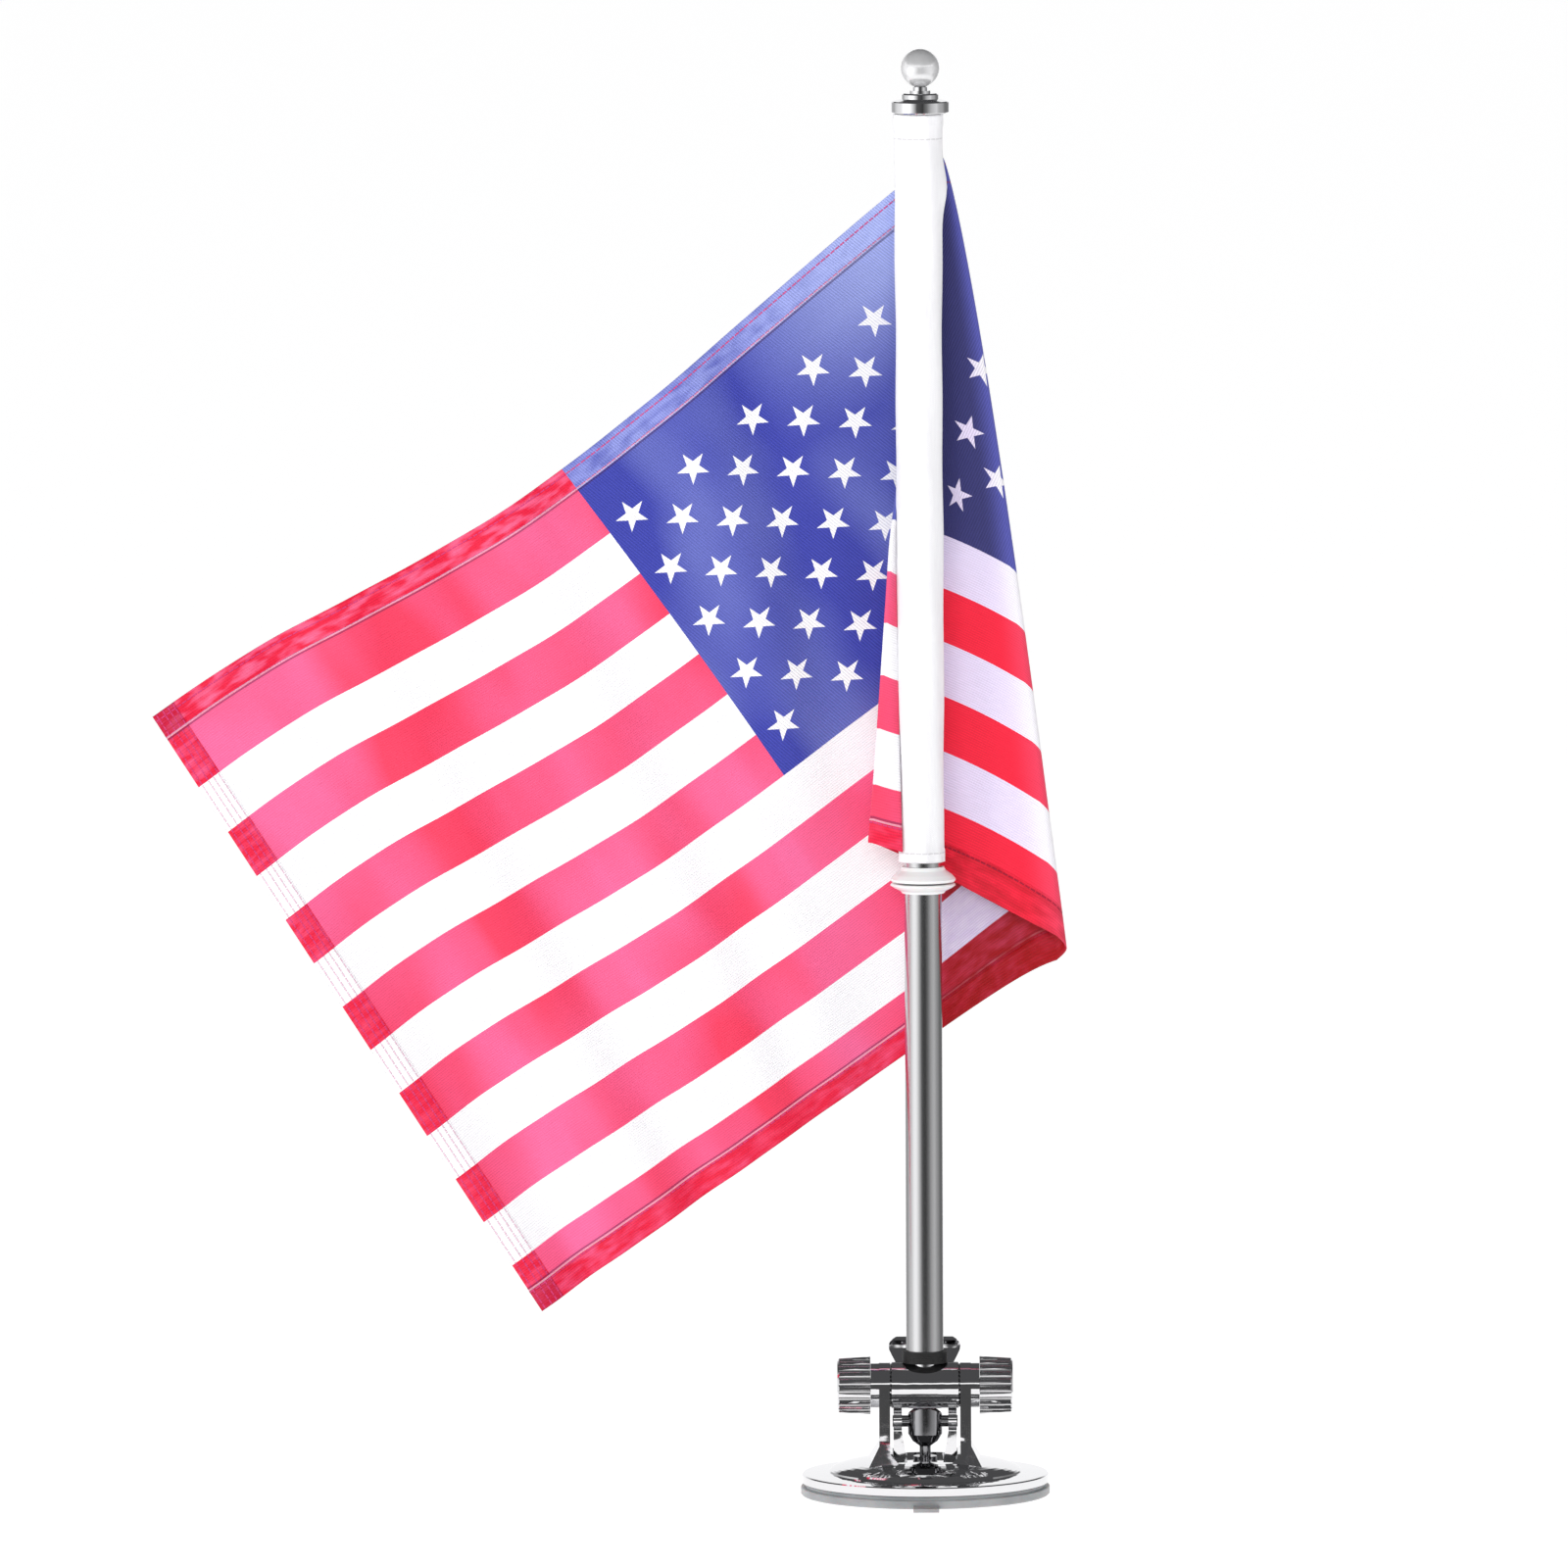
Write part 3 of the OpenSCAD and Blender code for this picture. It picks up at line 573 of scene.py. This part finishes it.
def flag_stretches(w):
    """The stretches of the rows at heights w, from hoist to fly, as (shares along it, shape)."""
    fx, fy, fz = front_fold(w)
    gx, gz = right_fold(w)
    round_r = mix(RIGHT_FOLD_R_LOW, RIGHT_FOLD_R_HIGH, w)
    y_main = MIDDLE_Y + 2 * round_r
    # The stripes meet the right fold at a slant, so they slip down along it as they go round.
    slip = FOLD_SLANT * round_r * math.pi / 2 * (1 - w ** 3)

    def strip(t):
        angle = mix(SEAM_ANGLE_LOW, SEAM_ANGLE_HIGH, w)
        x = mix(-SEAM_R * np.cos(angle), fx + FRONT_FOLD_R, t)
        y = mix(-SEAM_R * np.sin(angle), fy - FRONT_FOLD_R, t)
        bow = STRIP_BOW * math.sin(math.pi * t) * (1 - w)
        return place(x, y - bow, mix(mix(HOIST_LOW, HOIST_HIGH, w), fz, t))

    def front_turn(t):
        a = -math.pi / 2 - math.pi * t
        x = fx + FRONT_FOLD_R * (1 + np.cos(a))
        return place(x, fy + FRONT_FOLD_R * np.sin(a), fz)

    def middle(t):
        x = mix(fx + FRONT_FOLD_R, gx - round_r, t)
        y = mix(fy + FRONT_FOLD_R, MIDDLE_Y, ease(t / 0.35))
        z = mix(fz, gz + slip, t)
        hollow = np.sin(math.pi * max(0, t - 0.4) / 0.6) ** 2 * (1 - w)
        return clear_of_sleeve(place(x, y - HOLLOW * hollow, z))

    def right_turn(t):
        a = -math.pi / 2 + math.pi * t
        x = gx + round_r * (np.cos(a) - 1)
        return place(x, MIDDLE_Y + round_r * (1 + np.sin(a)), gz - slip * a / (math.pi / 2))

    def main(t):
        ex, ez = mix(FLY_LOW[0], FLY_HIGH[0], w), mix(FLY_LOW[1], FLY_HIGH[1], w)
        x = mix(gx - round_r, ex, t)
        sag = TOP_SAG * w + MID_SAG * 4 * w * (1 - w)
        sag = sag * math.sin(math.pi * t) ** mix(SAG_SHAPE_NEAR, SAG_SHAPE_FAR, t)
        z = mix(gz, ez, t) - sag - slip * math.exp(-SLIP_FADE * t)
        free = smooth((WAVES_FROM - x) / (WAVES_FROM - WAVES_FULL))
        wave = 0
        for size, length, low_phase, high_phase in WAVES:
            turns = LONGEST_RUN * t / length
            wave = wave + size * np.sin(2 * math.pi * turns + mix(low_phase, high_phase, w))
        return place(x, mix(y_main, FLY_Y, t) + free * wave, z)

    hem = FLY_HEM / (330 * MM)
    return [
        (np.linspace(0, 1, 9)[:-1], strip),
        (np.linspace(0, 1, 9)[:-1], front_turn),
        (np.concatenate([np.linspace(0, 0.2, 13)[:-1], np.linspace(0.2, 1, 33)[:-1]]), middle),
        (np.linspace(0, 1, 11)[:-1], right_turn),
        (np.concatenate([np.linspace(0, 1 - hem, 120)[:-1], np.linspace(1 - hem, 1, 13)]), main),
    ]


def length_to_fly(points):
    """Length of cloth from each point along its row to the fly edge."""
    steps = np.linalg.norm(np.diff(points, axis=0), axis=-1)
    runs = np.cumsum(steps[::-1], axis=0)[::-1]
    return np.concatenate([runs, np.zeros((1, points.shape[1]))])


def cloth_coordinates(points, w, right_fold_at):
    """Where each point lies on the flat cloth: u from the hoist and v from the bottom edge.

    u follows the length along each row. Beyond the right fold the cloth is pulled on the bias, so
    its print leans a few millimetres from the rows; in front of it the print sits a little lower.
    """
    to_fly = length_to_fly(points)
    far = to_fly / (400 * MM)
    bias = (1.9 * far - 8.2) * 4 * w * (1 - w) - (13.8 + 6.9 * far) * (1 - w) - 0.8 * far
    lean_u = far * bias * MM
    lean_v = 4 * w * (1 - w) * (3 * w - 7 * w * far - 21.7 * far + 32.3 * far ** 2) * MM
    front_v = -9.5 * MM * (1 - np.exp(-w / 0.13)) * smooth((1 - w) / 0.25)
    fold_x = points[right_fold_at, :, 0]
    loose = smooth((fold_x - points[..., 0]) / (fold_x + 8 * MM))
    to_fold = mix(TO_FOLD_LOW, TO_FOLD_HIGH, w) + TO_FOLD_BOW * 4 * w * (1 - w)
    whole = to_fly[0] - to_fly[right_fold_at]
    before_fold = to_fly - to_fly[right_fold_at]
    seen = 0.9 * np.maximum(fold_x - 8 * MM, 0)
    hidden_share = (whole - before_fold) / (whole - seen)
    u_front = np.where(before_fold < seen, to_fold - before_fold, (to_fold - seen) * hidden_share)
    u_back = FLY - to_fly - lean_u * loose
    u_back -= (FLY - to_fly[right_fold_at] - to_fold) * (1 - loose)
    in_front = np.arange(len(points))[:, None] < right_fold_at
    u = np.where(in_front, u_front, u_back)
    near_fold = np.clip(1 - before_fold / np.maximum(to_fold, 1 * MM), 0, 1)
    curve = STRIPE_CURVE * (1 - w) * np.sin(2 * math.pi * near_fold)
    v = HOIST * w + np.where(in_front, front_v + curve, mix(front_v, lean_v, loose))
    # The part of the main layer that hangs behind the front one, in its shade
    shaded = np.where(in_front, 0.0, smooth((points[..., 0] + 2 * MM) / (14 * MM)))
    # Painted light on the front layer, strongest at its edge by the right fold
    reach = 2 * MM + 0.36 * fold_x
    lit = np.where(in_front, smooth(1 - before_fold / reach), 0.0)
    return u, v, {"shaded": shaded, "fold_light": lit}


def hem_relief(u, v):
    """How far the reverse side stands out: hems are extra layers with a rounded inner edge."""
    relief = np.zeros_like(u)
    hems = ((HOIST - v, HEM, HEM_BEAD_HIGH), (v, HEM, HEM_BEAD_HIGH),
            (FLY - u, FLY_HEM, FLY_BEAD_HIGH))
    for away, width, bead_high in hems:
        inside = away < width
        bead = np.exp(-((away - width + BEAD_INSET) / BEAD_WIDE) ** 2)
        relief = relief + HEM_LAYER * inside + bead_high * bead
    return relief


def make_flag():
    edge = np.arange(0, HEM + 2 * MM, 0.9 * MM)
    field = np.linspace(edge[-1] + 2 * MM, HOIST - edge[-1] - 2 * MM, 96)
    w = np.concatenate([edge, field, (HOIST - edge)[::-1]]) / HOIST
    points, starts = [], []
    for shares, shape in flag_stretches(w):
        starts.append(len(points))
        points += [shape(t) for t in shares]
    mid = np.array(points)
    u, v, tones = cloth_coordinates(mid, w, (starts[3] + starts[4]) // 2)
    along = np.gradient(mid, axis=0)
    up = np.gradient(mid, axis=1)
    side = np.cross(along, up)
    side /= np.linalg.norm(side, axis=-1, keepdims=True)
    obverse = mid + side * CLOTH_HALF
    relief = hem_relief(FLY - length_to_fly(mid), np.broadcast_to(HOIST * w, u.shape))
    reverse = mid - side * (CLOTH_HALF + relief)[..., None]
    flag = grid_solid("flag_cloth", obverse, reverse, u, v)
    for name, values in tones.items():
        tone = flag.data.attributes.new(name, "FLOAT", "POINT")
        tone.data.foreach_set("value", np.tile(values.ravel(), 2))
    return flag


def grid_solid(name, front, back, u, v):
    """A closed sheet from two grids of points, with the cloth's own coordinates as its UV map."""
    n, m = u.shape
    total = n * m
    index = np.arange(total).reshape(n, m)
    quad = np.stack([index[:-1, :-1], index[1:, :-1], index[1:, 1:], index[:-1, 1:]], axis=-1)
    quad = quad.reshape(-1, 4)
    faces = [quad, quad[:, ::-1] + total]
    for line in (index[:, 0], index[-1, :], index[::-1, -1], index[0, ::-1]):
        a, b = line[:-1], line[1:]
        faces.append(np.stack([b, a, a + total, b + total], axis=-1))
    mesh = bpy.data.meshes.new(name)
    verts = np.concatenate([front.reshape(-1, 3), back.reshape(-1, 3)])
    mesh.from_pydata(verts.tolist(), [], np.concatenate(faces).tolist())
    coordinates = np.stack([np.tile(u.ravel(), 2), np.tile(v.ravel(), 2)], axis=-1)
    corner = np.empty(len(mesh.loops), dtype=np.int32)
    mesh.loops.foreach_get("vertex_index", corner)
    layer = mesh.uv_layers.new(name="cloth")
    layer.data.foreach_set("uv", coordinates[corner].ravel())
    reverse = mesh.attributes.new("reverse", "FLOAT", "POINT")
    reverse.data.foreach_set("value", np.repeat([0.0, 1.0], total))
    mesh.polygons.foreach_set("use_smooth", [True] * len(mesh.polygons))
    mesh.update()
    piece = bpy.data.objects.new(name, mesh)
    bpy.context.scene.collection.objects.link(piece)
    return piece


# ---------------------------------------------------------------- sleeve


CANVAS_LOW = (0.86, 0.85, 0.89, 1.0)
CANVAS_HIGH = (0.97, 0.97, 0.98, 1.0)
CANVAS_THREAD = (0.55, 0.53, 0.56, 1.0)
WARP_PITCH = 0.72 * MM
WEFT_PITCH = 0.80 * MM
# Rows of stitches that close the sleeve's hems, as heights above its lower edge
SLEEVE_ROWS = (4 * MM, 311 * MM)
CANVAS_THICK = 0.55 * MM
CLEAR_OF_POLE = 8.12 * MM


def canvas_material():
    material, shader, n = new_material("sleeve_canvas", (0.84, 0.83, 0.85), 0.85)
    uv = n.add("ShaderNodeUVMap", uv_map="cloth")
    u, v = n.split(uv.outputs["UV"])[:2]
    warp = n.math("SINE", n.math("MULTIPLY", u, 2 * math.pi / WARP_PITCH))
    weft = n.math("SINE", n.math("MULTIPLY", v, 2 * math.pi / WEFT_PITCH))
    weave = n.math("MULTIPLY", warp, weft)
    slub = n.noise(n.scaled(uv.outputs["UV"], (900.0, 120.0, 1.0)), 1.0, 3.0)
    height = n.math("MULTIPLY_ADD", weave, 0.5, slub)
    tint = n.mix(n.in_range(height, -0.1, 1.1), CANVAS_LOW, CANVAS_HIGH)
    rows = n.math("MAXIMUM", *[stitch_row(n, v, u, at) for at in SLEEVE_ROWS])
    tint = n.mix(n.math("MULTIPLY", rows, 0.5), tint, CANVAS_THREAD)
    n.link(tint, shader.inputs["Base Color"])
    relief = n.bump(height, 0.00018, 0.8)
    n.link(n.bump(rows, 0.0003, 0.6, relief), shader.inputs["Normal"])
    shader.inputs["Sheen Weight"].default_value = 0.2
    return material


def make_sleeve():
    """A sewn tube round the pole, pulled to the left where the flag is stitched to it."""
    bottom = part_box("flag_sleeve")[0][2]
    turns = np.linspace(0, 2 * math.pi, 73)
    heights = np.concatenate([np.linspace(0, 6, 7), np.linspace(10, 310, 76),
                              np.linspace(315.5, 321.5, 7)]) * MM
    angle, z = np.meshgrid(turns, heights, indexing="ij")
    w = z / heights[-1]
    towards = np.exp(-((angle - math.pi) / 0.6) ** 2)
    inner = 8.4 * MM + 0.35 * MM * np.sin(3 * angle + 5 * w) ** 2
    inner = inner + mix(1.2 * MM, 1.9 * MM, smooth(2 * w)) * towards
    bulge = np.exp((np.cos(angle) - 1) / 0.16) * np.exp(-((z - 290 * MM) / (10 * MM)) ** 2)
    inner = inner + 2.3 * MM * bulge
    puff = 0.25 * MM * np.sin(9 * angle + 2.0) * np.exp(-(z / (9 * MM)) ** 2)
    puff = puff + 0.3 * MM * np.sin(8 * angle) * np.exp(-((heights[-1] - z) / (11 * MM)) ** 2)
    drape = 0.18 * MM * np.sin(2 * math.pi * z / (61 * MM) + 2 * angle)
    inner = np.maximum(inner + puff + drape, CLEAR_OF_POLE)
    hem = 0.3 * MM * ((z < 5.5 * MM) | (z > heights[-1] - 6 * MM))
    outer = inner + CANVAS_THICK + hem

    def ring(radius):
        return place(radius * np.cos(angle), radius * np.sin(angle), bottom + z)

    return grid_solid("sleeve_cloth", ring(outer), ring(inner), angle * 9.3 * MM, z)


# ---------------------------------------------------------------- stage, light and camera


def soft_light(name, place_at, aim, size, power, colour=(1, 1, 1)):
    data = bpy.data.lights.new(name, "AREA")
    data.shape = "RECTANGLE"
    data.size, data.size_y = size
    data.energy = power
    data.color = colour
    lamp = bpy.data.objects.new(name, data)
    lamp.location = place_at
    lamp.visible_glossy = False
    lamp.rotation_euler = (Vector(aim) - Vector(place_at)).to_track_quat("-Z", "Y").to_euler()
    bpy.context.scene.collection.objects.link(lamp)


def floor_ring(name, radii, material):
    """A flat ring of floor round the stand; with a first radius of 0 it is a disc."""
    spokes = 64
    turns = np.linspace(0, 2 * math.pi, spokes, endpoint=False)
    rows = [place(r * np.cos(turns), r * np.sin(turns), 0.0) for r in radii]
    faces = []
    for ring in range(len(radii) - 1):
        for k in range(spokes):
            a, b = ring * spokes + k, ring * spokes + (k + 1) % spokes
            faces.append((a, a + spokes, b + spokes, b))
    mesh = bpy.data.meshes.new(name)
    mesh.from_pydata(np.concatenate(rows).tolist(), [], faces)
    mesh.materials.append(material)
    floor = bpy.data.objects.new(name, mesh)
    bpy.context.scene.collection.objects.link(floor)
    return floor


def make_stage():
    """A wide pale floor. The chrome reflects the paper just round the stand, then the studio."""
    material, shader = new_material("studio_paper", (0.30, 0.30, 0.305), 0.9)[:2]
    shader.inputs["Specular IOR Level"].default_value = 0.0
    shader.inputs["Emission Color"].default_value = (1.0, 1.0, 1.0, 1.0)
    shader.inputs["Emission Strength"].default_value = 0.95
    near_paper = floor_ring("floor_near", [0.001, 0.05, 0.1, 0.2], material)
    far_paper = floor_ring("floor_far", [0.2, 0.5, 1.2, 3.0, 40.0], material)
    far_paper.visible_glossy = False


# Brightness of the studio at low level round the stand, as (left to right place, level)
IN_FRONT = ((-1.0, 0.9), (-0.92, 1.5), (-0.75, 1.5), (-0.46, 0.7), (-0.22, 0.10), (0.18, 0.05),
            (0.45, 0.20), (0.72, 0.55), (0.93, 0.75), (1.0, 0.45))
BEHIND = ((-1.0, 0.9), (-0.80, 0.45), (-0.45, 0.50), (-0.32, 1.0), (0.32, 1.0), (0.45, 0.20),
          (0.90, 0.20), (1.0, 0.45))


def level_ramp(n, x, stops):
    node = n.add("ShaderNodeValToRGB")
    ramp = node.color_ramp
    while len(ramp.elements) < len(stops):
        ramp.elements.new(0.5)
    for element, (place_at, level) in zip(ramp.elements, stops):
        element.position = (place_at + 1) / 2
        element.color = (level, level, level * 1.01, 1.0)
    n.link(n.math("MULTIPLY_ADD", x, 0.5, 0.5), node.inputs["Fac"])
    return node.outputs["Color"]


def light_studio():
    scene = bpy.context.scene
    scene.view_settings.view_transform = "Standard"
    world = bpy.data.worlds.new("studio")
    scene.world = world
    world.use_nodes = True
    n = Nodes(world.node_tree)
    background = world.node_tree.nodes["Background"]
    direction = n.add("ShaderNodeTexCoord").outputs["Generated"]
    x, y, z = n.split(direction)[:3]
    is_back = n.in_range(y, -0.04, 0.04)
    low = n.mix(is_back, level_ramp(n, x, IN_FRONT), level_ramp(n, x, BEHIND))
    ceiling_from = n.math("MULTIPLY_ADD", is_back, 0.24, 0.10)
    high = n.in_range(n.math("SUBTRACT", z, ceiling_from), 0.0, 0.08)
    room = n.mix(high, low, (0.075, 0.075, 0.078, 1.0))
    strip = n.math("MULTIPLY", n.near(z, 0.24, 0.045), n.math("SUBTRACT", 1.0, is_back))
    room = n.mix(strip, room, (1.3, 1.3, 1.3, 1.0))
    ground = n.in_range(z, -0.52, -0.60)
    n.link(n.mix(ground, room, (1.0, 1.0, 1.0, 1.0)), background.inputs["Color"])
    background.inputs["Strength"].default_value = 1.0
    soft_light("key_left", (-2.1, -1.5, 1.2), (0, 0, 0.35), (0.9, 1.6), 26)
    soft_light("front_soft", (-0.5, -2.9, 1.5), (0, 0, 0.33), (2.0, 1.8), 34)
    soft_light("fill_right", (2.0, -0.9, 0.9), (0, 0, 0.35), (0.6, 1.6), 12)


CAMERA_FAR = 10.0
VIEW_WIDE = 0.6728


def make_camera():
    data = bpy.data.cameras.new("camera")
    data.sensor_width = 36
    data.lens = 36 * CAMERA_FAR / VIEW_WIDE
    data.clip_end = 50
    camera = bpy.data.objects.new("camera", data)
    aim = Vector((-59.5 * MM, 0.0, 307.1 * MM))
    pitch = math.radians(5.64)
    camera.location = aim + CAMERA_FAR * Vector((0, -math.cos(pitch), math.sin(pitch)))
    look = (aim - camera.location).to_track_quat("-Z", "Y").to_euler()
    look.rotate_axis("Z", math.radians(-0.25))
    camera.rotation_euler = look
    bpy.context.scene.collection.objects.link(camera)
    bpy.context.scene.camera = camera


# ---------------------------------------------------------------- put it together

dress_hardware()

sleeve = make_sleeve()
sleeve.data.materials.append(canvas_material())
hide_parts("flag_sleeve")
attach(sleeve, "banner")

flag = make_flag()
flag.data.materials.append(flag_material())
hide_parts("flag")
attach(flag, "banner")

make_stage()
light_studio()
make_camera()
